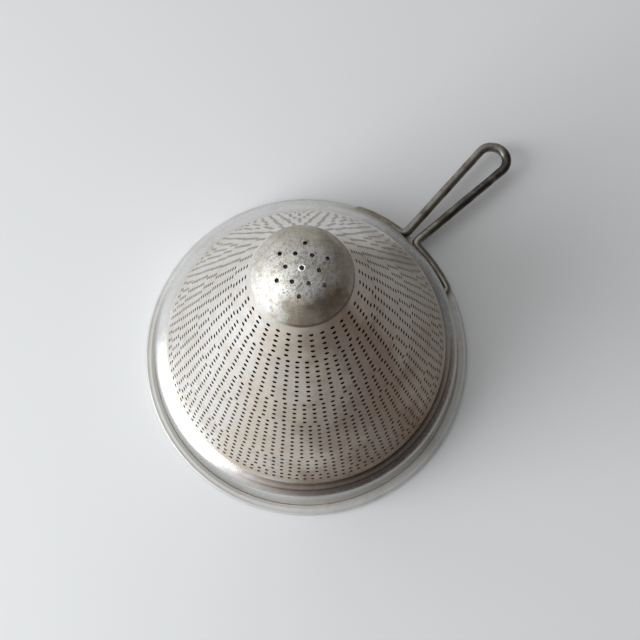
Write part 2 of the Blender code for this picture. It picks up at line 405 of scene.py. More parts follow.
# painted shade: the inside of the cone and dome is near black, so the holes look dark
def shaded_inside_aluminium():
    p = Paint("shaded_inside_aluminium")
    colour = p.mix(p.ramp(p.noise(0.06, 4, 0.65), 0.35, 0.7), (0.12, 0.11, 0.095), (0.08, 0.07, 0.055))
    p.bump(p.noise(0.8, 4, 0.6), 0.05)
    return p.finish(colour, p.ramp(p.noise(0.3, 4, 0.6), 0.3, 0.7, 0.5, 0.7))


def hole_shade_and_grime():
    p = Paint("hole_shade_and_grime")
    height = p.split()[2]
    # painted shade: the hole walls are near black, paler and browner towards the foot where more light
    # comes through; the noise adds brown grime
    colour = p.mix(p.ramp(height, 50, 135), (0.115, 0.088, 0.050), (0.012, 0.008, 0.005))
    colour = p.mix(p.ramp(p.noise(0.4, 4, 0.6), 0.45, 0.75, 0.0, 0.5), colour, (0.07, 0.045, 0.02))
    p.shader.inputs["Metallic"].default_value = 0.0
    p.shader.inputs["Specular IOR Level"].default_value = 0.1
    return p.finish(colour, 0.9)


# painted reflection and painted shade for the edge of the dome, by share of a turn: brown away from
# the window, dimmed where the window's highlight falls
DOME_PAINTED_SHADE = ((0.0, (0.62, 0.56, 0.48)), (0.083, (0.56, 0.51, 0.45)), (0.167, (0.74, 0.70, 0.62)),
                (0.25, (0.84, 0.81, 0.76)), (0.4, (1.0, 0.99, 0.96)), (0.50, (0.86, 0.86, 0.85)),
                (0.62, (0.78, 0.78, 0.78)),
                (0.70, (0.58, 0.55, 0.50)), (0.75, (0.42, 0.36, 0.30)), (0.833, (0.30, 0.24, 0.19)),
                (0.875, (0.36, 0.29, 0.23)), (0.917, (0.60, 0.53, 0.46)), (1.0, (0.62, 0.56, 0.48)))


def stained_aluminium():
    p = Paint("stained_aluminium")
    radius = p.radius()
    blotches = p.noise(0.10, 6, 0.62)
    colour = p.mix(p.ramp(blotches, 0.40, 0.66), (0.74, 0.73, 0.70), (0.63, 0.61, 0.57))
    tan = p.noise(0.13, 5, 0.62)
    colour = p.mix(p.ramp(tan, 0.52, 0.68, 0.0, 0.45), colour, (0.50, 0.42, 0.31))
    wander = p.ramp(p.noise(0.09, 4, 0.6), 0.3, 0.7, -0.05, 0.05)
    # painted reflection and painted shade round the dome's edge, by share of a turn
    edge = p.stops(p.math("WRAP", p.math("ADD", p.turns(), wander), 1, 0), DOME_PAINTED_SHADE)
    reach = p.math("ADD", radius, p.ramp(p.noise(0.16, 4, 0.65), 0.3, 0.7, -3.0, 3.0))
    colour = p.tint(colour, edge, p.ramp(reach, 8, 19))
    darker_zone = p.ramp(radius, 11, 18, 1.0, 0.45)
    dirt = p.noise(0.35, 6, 0.75)
    colour = p.mix(p.times(darker_zone, p.ramp(dirt, 0.50, 0.62, 0.0, 0.65)), colour, (0.26, 0.23, 0.20))
    flecks = p.noise(0.75, 5, 0.7)
    colour = p.mix(p.ramp(flecks, 0.56, 0.66, 0.0, 0.6), colour, (0.27, 0.23, 0.19))
    pits = p.noise(1.3, 5, 0.75)
    colour = p.mix(p.times(darker_zone, p.ramp(pits, 0.54, 0.62, 0.0, 0.95)), colour, (0.09, 0.075, 0.06))
    swirl = p.noise(0.42, 4, 0.6, twist=2.4)
    scratch = p.ramp(p.math("ABSOLUTE", p.math("SUBTRACT", swirl, 0.5)), 0.0, 0.022, 1.0, 0.0)
    scratch = p.times(scratch, p.ramp(p.noise(0.12, 3), 0.42, 0.6))
    colour = p.mix(p.times(scratch, 0.6), colour, (0.16, 0.14, 0.12))
    # painted shadow: a dark line round the dome's lower edge, on the side away from the window
    painted_join_shadow = p.times(p.ramp(radius, DOME_EDGE_R - 0.9, DOME_EDGE_R - 0.2), p.shaded())
    colour = p.mix(p.times(painted_join_shadow, 0.7), colour, (0.09, 0.07, 0.055))
    burr = p.ramp(radius, 1.6, 1.8, 1.0, 0.0)
    colour = p.mix(burr, colour, (0.93, 0.93, 0.92))
    rough = p.ramp(dirt, 0.35, 0.65, 0.48, 0.60)
    brushed = p.noise(1.0, 3, 0.6, point=p.round_point(2.2, 2.6))
    p.bump(brushed, 0.03)
    p.bump(pits, 0.10)
    p.bump(flecks, 0.10)
    p.bump(p.noise(0.10, 2), 0.25)
    p.shader.inputs["Metallic"].default_value = 0.75
    return p.finish(colour, rough)


# painted shade with some dirt in the crease at the foot of the cone: how dark, by share of a turn,
# darkest away from the window
CREASE_DIRT_AND_SHADE = ((0.0, 0.3), (0.15, 0.1), (0.6, 0.0), (0.75, 0.6), (0.82, 0.9), (0.93, 0.8), (1.0, 0.3))
# painted reflection and painted shade for the band's wall: darker towards the handle and on the side
# away from the window
WALL_PAINTED_SHADE = ((0.0, (0.56, 0.55, 0.53)), (0.083, (0.52, 0.51, 0.49)), (0.125, (0.36, 0.34, 0.31)),
                (0.18, (0.50, 0.49, 0.46)), (0.23, (0.85, 0.84, 0.82)), (0.30, (1.0, 1.0, 1.0)),
                (0.70, (0.95, 0.95, 0.94)), (0.76, (0.66, 0.65, 0.63)), (0.80, (0.50, 0.49, 0.47)),
                (0.90, (0.46, 0.45, 0.43)), (1.0, (0.56, 0.55, 0.53)))


def polished_aluminium():
    p = Paint("polished_aluminium")
    marks = p.noise(1.0, 3, 0.6, point=p.round_point(0.9, 3.2))
    haze = p.noise(0.05, 4, 0.6)
    colour = p.mix(p.ramp(haze, 0.4, 0.7), (0.82, 0.82, 0.82), (0.72, 0.71, 0.69))
    colour = p.mix(p.ramp(marks, 0.55, 0.8, 0.0, 0.2), colour, (0.45, 0.43, 0.40))
    radius = p.radius()
    # painted reflection: brown on the inner part of the shoulder, on the side away from the window
    painted_brown_reflection = p.times(p.shaded(), p.ramp(radius, 86.0, 88.0, 1.0, 0.0))
    colour = p.mix(p.times(painted_brown_reflection, 0.8), colour, (0.64, 0.50, 0.42))
    # painted shade with some dirt: a dark ring in the crease at the cone's foot, faint on the side
    # facing the window
    crease = p.ramp(radius, CONE_FOOT_R + 0.9, CONE_FOOT_R + 3.0, 1.0, 0.0)
    crease_dirt_and_shade = p.stops(p.turns(), [(share, (amount,) * 3) for share, amount in CREASE_DIRT_AND_SHADE])
    crease_dirt_and_shade = p.times(crease, crease_dirt_and_shade)
    crease_dirt_and_shade = p.times(crease_dirt_and_shade, p.ramp(p.noise(0.5, 4, 0.6), 0.25, 0.5, 0.5, 1.0))
    colour = p.mix(crease_dirt_and_shade, colour, (0.10, 0.08, 0.06))
    # painted reflection: a thin brown line on the shoulder, on the side away from the window
    painted_brown_line = p.times(p.ramp(radius, 84.2, 84.9), p.ramp(radius, 85.1, 86.0, 1.0, 0.0))
    painted_brown_line = p.times(painted_brown_line, p.times(p.shaded(), 0.7))
    colour = p.mix(painted_brown_line, colour, (0.19, 0.11, 0.08))
    # painted reflection and painted shade on the wall, by share of a turn
    wall_shade = p.stops(p.turns(), WALL_PAINTED_SHADE)
    on_wall = p.times(p.ramp(radius, 84.5, 87.5), p.ramp(radius, 90.8, 92.2, 1.0, 0.3))
    colour = p.tint(colour, wall_shade, on_wall)
    # painted shadow and painted reflection: near black on the band's wall behind the handle's arms
    behind = p.times(p.ramp(p.turns(), 0.04, 0.06), p.ramp(p.turns(), 0.18, 0.20, 1.0, 0.0))
    behind = p.times(behind, p.ramp(radius, 88.0, 89.2))
    colour = p.mix(p.times(behind, 0.8), colour, (0.06, 0.05, 0.035))
    # painted shade: on the side facing the window the outer shoulder is toned grey, narrowing the
    # window's highlight
    darker_zone = p.times(p.lit_side(), p.ramp(radius, 86.8, 88.2))
    colour = p.mix(p.times(darker_zone, 0.8), colour, (0.50, 0.50, 0.49))
    rough = p.ramp(p.noise(0.3, 5, 0.7), 0.3, 0.7, 0.20, 0.28)
    p.bump(marks, 0.02)
    p.bump(p.noise(0.05, 2), 0.3)
    return p.finish(colour, rough)


def satin_aluminium():
    p = Paint("satin_aluminium")
    haze = p.noise(0.08, 5, 0.65)
    colour = p.mix(p.ramp(haze, 0.4, 0.7), (0.68, 0.68, 0.67), (0.60, 0.59, 0.57))
    marks = p.noise(1.0, 3, 0.6, point=p.round_point(1.4, 3.0))
    colour = p.mix(p.ramp(marks, 0.5, 0.8, 0.0, 0.25), colour, (0.42, 0.40, 0.37))
    rust = p.ramp(p.noise(0.16, 4, 0.6), 0.60, 0.70)
    radius = p.radius()
    root = p.times(p.ramp(radius, 92.2, 92.8), p.ramp(radius, 93.6, 94.6, 1.0, 0.0))
    rusty = p.times(root, p.math("ADD", p.times(rust, 0.5), 0.25))
    colour = p.mix(rusty, colour, (0.56, 0.42, 0.24))
    # painted shade: the rim is toned grey on the side facing the window, to dim its sheen there
    colour = p.mix(p.times(p.lit_side(), 0.6), colour, (0.44, 0.43, 0.41))
    rough = p.ramp(p.noise(0.3, 5, 0.7), 0.3, 0.7, 0.50, 0.62)
    p.bump(marks, 0.02)
    p.shader.inputs["Metallic"].default_value = 0.5
    return p.finish(colour, rough)


def dark_steel():
    p = Paint("dark_steel")
    blotches = p.noise(0.10, 5, 0.65)
    colour = p.mix(p.ramp(blotches, 0.38, 0.66), (0.33, 0.31, 0.28), (0.16, 0.14, 0.11))
    rust = p.noise(0.22, 5, 0.65)
    colour = p.mix(p.ramp(rust, 0.54, 0.72, 0.0, 0.6), colour, (0.20, 0.13, 0.06))
    x, y, _ = p.split()
    # painted shade: one leg of the handle, on the side away from the window, goes near black
    painted_leg_shade = p.times(p.ramp(y, -3.0, -8.0), p.ramp(x, 96, 108))
    painted_leg_shade = p.times(painted_leg_shade, p.ramp(p.noise(0.09, 4, 0.6), 0.34, 0.52, 0.35, 1.0))
    colour = p.mix(p.times(painted_leg_shade, 0.85), colour, (0.045, 0.04, 0.035))
    # painted light: the arms are toned lighter than the rest of the wire
    arms = p.ramp(x, 93, 99, 1.0, 0.0)
    colour = p.mix(p.times(arms, 0.2), colour, (0.40, 0.35, 0.27))
    rough = p.ramp(blotches, 0.35, 0.65, 0.30, 0.46)
    p.bump(p.noise(1.1, 5, 0.7), 0.06)
    return p.finish(colour, rough)


# ---------------------------------------------------------------- perforated cone
SLOPE = (CONE_TOP_Z - CONE_FOOT_Z) / math.cos(CONE_ANGLE)
FLARE = 2.2                     # the foot curls outwards over this length


def cone_point(turn, drop, depth):
    """A point at an angle, a distance down the slope from the top edge and a depth in the wall."""
    z = CONE_TOP_Z - drop * math.cos(CONE_ANGLE) - depth * math.sin(CONE_ANGLE)
    r = CONE_TOP_R + drop * math.sin(CONE_ANGLE) - depth * math.cos(CONE_ANGLE)
    curl = max(0.0, (drop - SLOPE + FLARE) / FLARE)
    r += 0.75 * curl * curl
    return (r * math.cos(turn), r * math.sin(turn), z)


class Wall:
    """Collects the points and faces of the perforated wall."""

    def __init__(self):
        self.verts, self.faces, self.known, self.grimy, self.inside = [], [], {}, [], []

    def vert(self, turn, drop, depth, key=None):
        if key in self.known:
            return self.known[key]
        self.verts.append(cone_point(turn, drop, depth))
        if key is not None:
            self.known[key] = len(self.verts) - 1
        return len(self.verts) - 1

    def ring(self, count, drop, depth, turn, key):
        step = math.tau / count
        return [self.vert(turn + step * i, drop, depth, (*key, i)) for i in range(count)]

    def quad(self, a, b, c, d, flip):
        self.faces.append((d, c, b, a) if flip else (a, b, c, d))

    def join(self, upper, lower, flip):
        """Join two rings with any numbers of points by a strip of triangles."""
        m, n = len(upper[0]), len(lower[0])
        start = upper[1]
        shift = round((start - lower[1]) / (math.tau / n))
        i = j = 0
        while i < m or j < n:
            next_up = start + math.tau * (i + 1) / m
            next_low = lower[1] + math.tau * (shift + j + 1) / n
            a, b = upper[0][i % m], lower[0][(shift + j) % n]
            if j >= n or (i < m and next_up <= next_low):
                c = upper[0][(i + 1) % m]
                i += 1
            else:
                c = lower[0][(shift + j + 1) % n]
                j += 1
            self.faces.append((c, b, a) if flip else (a, b, c))


# points round the cell of a hole, across and up in sixths of the cell, from its upper left
BORDER = ((-3, 3), (-1, 3), (1, 3), (3, 3), (3, 1), (3, -1),
          (3, -3), (1, -3), (-1, -3), (-3, -3), (-3, -1), (-3, 1))
CORNERS = len(BORDER)
SEAM = 0.12                     # half the plain strip where the number of columns changes


def hole_ring(wall, turn, drop, radius, depth):
    """The points round a hole, starting at its upper left, like BORDER."""
    points = []
    for i in range(CORNERS):
        angle = math.radians(135 - 30 * i)
        across, up = radius * math.cos(angle), radius * math.sin(angle)
        r = CONE_TOP_R + (drop - up) * math.sin(CONE_ANGLE)
        points.append(wall.vert(turn + across / r, drop - up, depth))
    return points


def make_perforated_cone(material, inside, darkening):
    """The cone's wall, cell by cell: each hole joined to its cell's border, on both faces."""
    wall = Wall()
    rings = sum(group[0] for group in HOLE_GROUPS)
    first_drop = SLOPE - FOOT_TO_RINGS - rings * RING_PITCH
    edges = {0: [], WALL: []}
    for depth in (0, WALL):
        drop = first_drop
        for number, (count, columns) in enumerate(HOLE_GROUPS):
            total = SECTORS * columns
            step = math.tau / total
            start = PATTERN_TURN + (0 if columns % 2 else step / 2) - step / 2
            top = drop + (SEAM if number else 0)
            bottom = drop + count * RING_PITCH - (SEAM if number < len(HOLE_GROUPS) - 1 else 0)
            height = (bottom - top) / count
            for level in (0, count * 6):
                ring = wall.ring(total * 3, top + height * level / 6, depth, start,
                                 (depth, number, level))
                edges[depth].append((ring, start))
            drop += count * RING_PITCH
            for row in range(count):
                for column in range(total):
                    middle = top + height * (row + 0.5)
                    border = []
                    for across, up in BORDER:
                        level = row * 6 + 3 - up
                        place_in = (column * 3 + (across + 3) // 2) % (total * 3)
                        border.append(wall.vert(start + step * (column + (across + 3) / 6),
                                                top + height * level / 6, depth,
                                                (depth, number, level, place_in)))
                    turn = start + step * (column + 0.5)
                    inner = hole_ring(wall, turn, middle, HOLE_R, depth)
                    wall.known[(depth, "hole", number, row, column)] = inner
                    for i in range(CORNERS):
                        k = (i + 1) % CORNERS
                        if depth > 0:
                            wall.inside.append(len(wall.faces))
                        wall.quad(border[i], inner[i], inner[k], border[k], depth > 0)
                    if depth > 0:
                        outer = wall.known[(0, "hole", number, row, column)]
                        for i in range(CORNERS):
                            k = (i + 1) % CORNERS
                            wall.grimy.append(len(wall.faces))
                            wall.quad(outer[i], inner[i], inner[k], outer[k], False)
    finish_wall_edges(wall, edges)
    obj = add_mesh("perforated_cone", wall.verts, wall.faces, material, sharp=28)
    for place_in, extra, faces in ((1, inside, wall.inside), (2, darkening, wall.grimy)):
        obj.data.materials.append(extra)
        for i in faces:
            obj.data.polygons[i].material_index = place_in
    place(obj, "strainer_cone")


def finish_wall_edges(wall, edges):
    """Close the wall: strips between groups, the foot's edge and the joggled lip at the top."""
    for depth, rings in edges.items():
        for upper, lower in zip(rings[1::2], rings[2::2]):
            wall.join(upper, lower, depth > 0)
    foot_count = len(edges[0][-1][0])
    turn = edges[0][-1][1]
    foot = [edges[0][-1][0]]
    path = [(SLOPE - FLARE * (1 - k / 6), 0) for k in range(6)]
    path += [(SLOPE - 0.2, 0), (SLOPE, 0.2), (SLOPE, WALL - 0.2), (SLOPE - 0.2, WALL)]
    path += [(SLOPE - FLARE * k / 3, WALL) for k in range(1, 4)]
    for k, (drop, depth) in enumerate(path):
        foot.append(wall.ring(foot_count, drop, depth, turn, ("foot", k)))
    foot.append(edges[WALL][-1][0])
    for above, below in zip(foot, foot[1:]):
        for i in range(foot_count):
            k = (i + 1) % foot_count
            wall.quad(above[i], below[i], below[k], above[k], False)
    top_count = len(edges[0][0][0])
    turn = edges[0][0][1]
    lip_outer = DOME_R - SHEET - GAP
    lip_inner = lip_outer - SHEET
    centre = (0, DOME_CENTRE_Z)
    knee_z = CONE_TOP_Z - 2 * SHEET
    outline = [(cone_r(knee_z, SHEET), knee_z)]
    outline += arc(centre, lip_inner, polar_of(lip_inner, CONE_TOP_Z - SHEET), LIP_TOP_POLAR, 6)
    outline += arc(centre, lip_outer, LIP_TOP_POLAR, polar_of(lip_outer, CONE_TOP_Z), 6)
    outline += [(CONE_TOP_R - 0.2, CONE_TOP_Z), (CONE_TOP_R + 0.08, CONE_TOP_Z - 0.2)]
    previous = edges[WALL][0][0]
    step = math.tau / top_count
    for r, z in outline:
        base = len(wall.verts)
        for i in range(top_count):
            wall.verts.append((r * math.cos(turn + step * i), r * math.sin(turn + step * i), z))
        ring = list(range(base, base + top_count))
        for i in range(top_count):
            k = (i + 1) % top_count
            wall.quad(previous[i], ring[i], ring[k], previous[k], True)
        previous = ring
    last = edges[0][0][0]
    for i in range(top_count):
        k = (i + 1) % top_count
        wall.quad(previous[i], last[i], last[k], previous[k], True)


# ---------------------------------------------------------------- domed tip
def dome_point(flat, radius):
    """A point on a sphere about the dome's centre; flat holds its angle from the top, in degrees."""
    polar = flat.length
    around = math.atan2(flat.y, flat.x)
    tilt = math.radians(polar)
    out = Vector((math.sin(tilt) * math.cos(around), math.sin(tilt) * math.sin(around),
                  math.cos(tilt)))
    dent = ripple(*(out * radius), 0.22, 9.0) + ripple(*(out * radius), 0.06, 2.6)
    dent += BURR_HEIGHT * max(0.0, 1 - abs(tilt * radius - BURR_R) / BURR_SPREAD)
    return out * (radius + dent) + Vector((0, 0, DOME_CENTRE_Z))


def tip_hole_centres():
    centres = [Vector((0, 0))]
    for polar, turn in TIP_HOLE_RINGS:
        for i in range(TIP_HOLES_PER_RING):
            around = math.radians(turn + 360 / TIP_HOLES_PER_RING * i)
            centres.append(polar * Vector((math.cos(around), math.sin(around))))
    return centres


def make_domed_tip(material, inside, darkening):
    """The dome, meshed in a flat map round its holes and then bent onto the sphere."""
    edge = polar_of(DOME_R, DOME_EDGE_Z)
    spread = TIP_HOLE_R * math.degrees(1 / DOME_R)   # a hole's radius, in degrees on the dome
    centres = tip_hole_centres()
    flats, cuts, collar = [], [], []
    for centre in centres:
        base = len(flats)
        for i in range(TIP_HOLE_STEPS):
            angle = math.tau * i / TIP_HOLE_STEPS
            ring = Vector((math.cos(angle), math.sin(angle)))
            # the flat map widens round the top, so a ring off the middle is stretched sideways
            if centre.length > 0:
                out = centre.normalized()
                side = Vector((-out.y, out.x))
                stretch = math.radians(centre.length) / math.sin(math.radians(centre.length))
                ring = out * ring.dot(out) + side * ring.dot(side) * stretch
            flats.append(centre + ring * spread)
            collar += [centre + ring * spread * wide for wide in COLLAR_RINGS]
        cuts += [(base + i, base + (i + 1) % TIP_HOLE_STEPS) for i in range(TIP_HOLE_STEPS)]
    flats += collar
    for k in range(1, DOME_RINGS + 1):
        polar = edge * k / DOME_RINGS
        count = max(8, round(DOME_EDGE_STEPS * k / DOME_RINGS / 4) * 4)
        for i in range(count):
            angle = math.tau * (i + 0.5 * (k % 2)) / count
            flat = polar * Vector((math.cos(angle), math.sin(angle)))
            if min((flat - c).length for c in centres) > spread * 1.9:
                flats.append(flat)
    base = len(flats) - DOME_EDGE_STEPS
    cuts += [(base + i, base + (i + 1) % DOME_EDGE_STEPS) for i in range(DOME_EDGE_STEPS)]
    flat_verts, _, faces, source, _, _ = geometry.delaunay_2d_cdt(flats, cuts, [], 0, 1e-5, True)
    kept = []
    for face in faces:
        middle = sum((flat_verts[i] for i in face), Vector((0, 0))) / 3
        if min((middle - c).length for c in centres) > spread * 0.97:
            kept.append(tuple(face))
    place_of = {old: new for new, olds in enumerate(source) for old in olds}
    count = len(flat_verts)
    verts = [dome_point(v, DOME_R) for v in flat_verts]
    inner_share = polar_of(DOME_R - SHEET, DOME_EDGE_Z) / edge
    for v in flat_verts:
        at_edge = v.length > edge * 0.98
        verts.append(dome_point(v * (inner_share if at_edge else 1), DOME_R - SHEET))
    faces = kept + [tuple(i + count for i in face[::-1]) for face in kept]
    for a, b in cuts:
        a, b = place_of[a], place_of[b]
        faces.append((a, b, b + count, a + count))
    obj = add_mesh("domed_tip", verts, faces, material)
    outward(obj)
    obj.data.materials.append(inside)
    obj.data.materials.append(darkening)
    for i in range(len(kept), 2 * len(kept)):
        obj.data.polygons[i].material_index = 1
    for i in range(2 * len(kept), 2 * len(kept) + TIP_HOLE_STEPS * len(centres)):
        obj.data.polygons[i].material_index = 2
    ease_edges(obj, 0.12, 60)
    place(obj, "tip_dome")


# ---------------------------------------------------------------- collar band and rim
def band_outline(inset):
    """The band's shoulder, knuckle and wall, top to bottom, moved in by inset."""
    first, second = SHOULDER_SLOPES
    start_z = CONE_FOOT_Z - GAP
    start = (cone_r(start_z), start_z)
    hub = (start[0] - SHOULDER_ARC_R * math.sin(math.radians(first)),
           start[1] - SHOULDER_ARC_R * math.cos(math.radians(first)))
    points = arc(hub, SHOULDER_ARC_R - inset, first, second, 14)
    step = SHOULDER_ARC_R - KNUCKLE_ARC_R
    hub = (hub[0] + step * math.sin(math.radians(second)),
           hub[1] + step * math.cos(math.radians(second)))
    points += arc(hub, KNUCKLE_ARC_R - inset, second, WALL_SLOPE, 10)[1:]
    top = points[-1]
    for i in range(1, WALL_STEPS + 1):
        fall = (top[1] - ROOT_Z) * i / WALL_STEPS
        points.append((top[0] + fall / math.tan(math.radians(WALL_SLOPE)), top[1] - fall))
    return points


def make_polished_band(material):
    """Spigot inside the cone, shoulder, wall, and a lip turned out under the rim."""
    inset = SHEET + GAP
    outer = [(cone_r(SPIGOT_TOP_Z, inset), SPIGOT_TOP_Z),
             (cone_r(CONE_FOOT_Z - GAP, inset), CONE_FOOT_Z - GAP)]
    outer += band_outline(0)
    root_r = outer[-1][0]
    hub = (root_r + ROOT_FILLET_R, ROOT_Z)
    outer += arc(hub, ROOT_FILLET_R, -90, -180, 6)[1:]
    outer.append((LIP_EDGE_R, LIP_UNDER_Z + SHEET))
    inner = [(LIP_EDGE_R, LIP_UNDER_Z)]
    inner += arc(hub, ROOT_FILLET_R + SHEET, -180, -WALL_SLOPE, 6)[:-1]
    inner += band_outline(SHEET)[::-1]
    inset += SHEET
    low = CONE_FOOT_Z - 2 * SHEET
    inner += [(cone_r(low, inset), low), (cone_r(SPIGOT_TOP_Z, inset), SPIGOT_TOP_Z)]
    band = turned("polished_band", outer + inner, material, 0.16)
    for side in (1, -1):
        turn = math.radians(side * ARM_END_TURN)
        out = Vector((math.cos(turn), math.sin(turn), 0))
        bm = bmesh.new()
        spot = Matrix.Translation((out * (root_r - SHEET) + Vector((0, 0, ARM_Z))) * MM + AXIS)
        radius = (WIRE_R + HOLE_CLEARANCE) * MM
        bmesh.ops.create_cone(bm, cap_ends=True, segments=28, radius1=radius, radius2=radius,
                              depth=6 * SHEET * MM,
                              matrix=spot @ out.to_track_quat("Z", "Y").to_matrix().to_4x4())
        mesh = bpy.data.meshes.new("wire_hole_cutter")
        bm.to_mesh(mesh)
        bm.free()
        cutter = bpy.data.objects.new("wire_hole_cutter", mesh)
        bpy.context.scene.collection.objects.link(cutter)
        cut = band.modifiers.new("wire hole", "BOOLEAN")
        cut.operation = "DIFFERENCE"
        cut.solver = "EXACT"
        cut.object = cutter
        bake_modifiers(band)
        bpy.data.objects.remove(cutter)
    place(band, "collar_band")


def bake_modifiers(obj):
    """Turn the object's modifiers into plain mesh."""
    graph = bpy.context.evaluated_depsgraph_get()
    graph.update()
    mesh = bpy.data.meshes.new_from_object(obj.evaluated_get(graph))
    obj.modifiers.clear()
    obj.data = mesh


# the roll's upper edge and the shallow valley beside the bead: out from LEAF_R, down from the top
LEAF_SHAPE = ((-0.84, 0.7), (-0.86, 0.5), (-0.78, 0.34), (-0.2, 0.24), (0.75, 0.08), (1.1, 0.0),
              (1.45, 0.05), (2.0, 0.2), (2.7, 0.32), (3.3, 0.32))


def make_bead_rim(material):
    """The rim, rolled into a bead, with one edge on the band's lip and one hooked under it."""
    roll = RIM_HEIGHT / 2
    hub_r = RIM_R - roll
    hook_top = LIP_UNDER_Z - GAP
    profile = [(LEAF_R - 0.7, RIM_HEIGHT - RIM_SHEET)]
    profile += [(LEAF_R + out, RIM_HEIGHT - down) for out, down in LEAF_SHAPE]
    profile += arc((hub_r, roll), roll, 26, 180, 20)
    profile += [(HOOK_R + RIM_SHEET, 0), (HOOK_R + 0.35, 0.12), (HOOK_R + 0.1, 0.4),
                (HOOK_R, RIM_SHEET), (HOOK_R, hook_top), (HOOK_R + RIM_SHEET, hook_top),
                (HOOK_R + RIM_SHEET, RIM_SHEET + 0.2)]
    profile += arc((hub_r, roll), roll - RIM_SHEET, 180, 0, 14)
    rim = turned("bead_rim", profile, material, 0.1)
    place(rim, "rolled_rim")


# ---------------------------------------------------------------- handle
def rounded(corners):
    """Points along a wire given as (corner, bend radius) pairs, each corner an arc."""
    points = [corners[0][0]]
    for (before, _), (corner, radius), (after, _) in zip(corners, corners[1:], corners[2:]):
        back = (before - corner).normalized()
        ahead = (after - corner).normalized()
        turn = math.pi - back.angle(ahead)
        if radius == 0 or turn < 1e-3:
            points.append(corner)
            continue
        reach = radius * math.tan(turn / 2)
        hub = corner + (back + ahead).normalized() * radius / math.cos(turn / 2)
        steps = max(3, round(math.degrees(turn) / 8))
        first = corner + back * reach - hub
        last = corner + ahead * reach - hub
        for i in range(steps + 1):
            points.append(hub + radius * first.slerp(last, i / steps))
    points.append(corners[-1][0])
    return points


def leg_spread():
    """The angle that each leg makes with the handle's line."""
    reach = LOOP_CENTRE_X - NECK_X
    return math.asin(LOOP_R / math.hypot(reach, NECK_HALF_WIDTH)) - math.atan2(NECK_HALF_WIDTH, reach)


def handle_half(side):
    """From a bent-over end to the neck: (corner, bend radius) pairs."""
    turn = math.radians(side * ARM_END_TURN)
    out = Vector((math.cos(turn), math.sin(turn), 0))
    along = Vector((-math.sin(turn), math.cos(turn), 0)) * side
    lift = Vector((0, 0, ARM_Z))
    corners = [(out * CLINCH_R + along * CLINCH_LENGTH + lift, 0),
               (out * CLINCH_R + lift, TIGHT_BEND), (out * ARM_R + lift, TIGHT_BEND)]
    neck_y = NECK_HALF_WIDTH - (NECK_X - ARM_R) * math.tan(leg_spread())
    neck_turn = math.degrees(math.asin(neck_y / ARM_R))
    for i in range(2, ARM_STEPS - 1):
        angle = math.radians(side * (ARM_END_TURN + (neck_turn - ARM_END_TURN) * i / ARM_STEPS))
        corners.append((Vector((ARM_R * math.cos(angle), ARM_R * math.sin(angle), ARM_Z)), 0))
    corners.append((Vector((ARM_R, side * neck_y, ARM_Z)), NECK_BEND))
    return corners


def lean(point):
    """Push the handle to one side, more and more from the rim to the loop."""
    share = min(1.0, max(0.0, (point.x - ARM_START_X) / (ARM_R - ARM_START_X)))
    return point + Vector((0, share * LEAN * (max(point.x, ARM_R) - LEAN_START), 0))


def make_bent_wire(material):
    """The handle: one wire from bent-over end to bent-over end, as a tube along its path."""
    spread = leg_spread()
    loop = []
    for i in range(LOOP_STEPS + 1):
        angle = math.pi / 2 + spread - (math.pi + 2 * spread) * i / LOOP_STEPS
        x = LOOP_CENTRE_X + LOOP_R * math.cos(angle)
        rise = LOOP_RISE * (x - ARM_R) / (LOOP_REACH - ARM_R)
        loop.append((Vector((x, LOOP_R * math.sin(angle), ARM_Z + rise)), 0))
    corners = [lean(point) for point in rounded(handle_half(1) + loop + handle_half(-1)[::-1])]
    path = [corners[0]]
    for here, there in zip(corners, corners[1:]):
        pieces = max(1, round((there - here).length / WIRE_STEP))
        path += [here.lerp(there, (i + 1) / pieces) for i in range(pieces)]
    verts, faces = [], []
    up = Vector((0, 0, 1))
    for i, spot in enumerate(path):
        ahead = (path[min(i + 1, len(path) - 1)] - path[max(i - 1, 0)]).normalized()
        side = ahead.cross(up).normalized()
        top = side.cross(ahead)
        for j in range(WIRE_SIDES):
            angle = math.tau * j / WIRE_SIDES
            out = side * math.cos(angle) + top * math.sin(angle)
            thick = WIRE_R * (1 + LOOP_SWELL * max(0.0, (spot.x - LOOP_CENTRE_X) / LOOP_R))
            verts.append(spot + out * (thick + ripple(*(spot + out * 3), 0.12, 6.0)))
    for i in range(len(path) - 1):
        here, there = i * WIRE_SIDES, (i + 1) * WIRE_SIDES
        for j in range(WIRE_SIDES):
            k = (j + 1) % WIRE_SIDES
            faces.append((here + j, here + k, there + k, there + j))
    faces.append(tuple(range(WIRE_SIDES))[::-1])
    faces.append(tuple(range(len(verts) - WIRE_SIDES, len(verts))))
    wire = add_mesh("bent_wire", verts, faces, material)
    outward(wire)
    ease_edges(wire, 0.3, 50)
    place(wire, "handle_wire")


# ---------------------------------------------------------------- stage
def seen_from_camera(x, y, z):
    """A point given across, away from and above the table as the camera sees it, in metres."""
    return Matrix.Rotation(VIEW_TURN, 4, "Z") @ Vector((x, y, z)) + AXIS


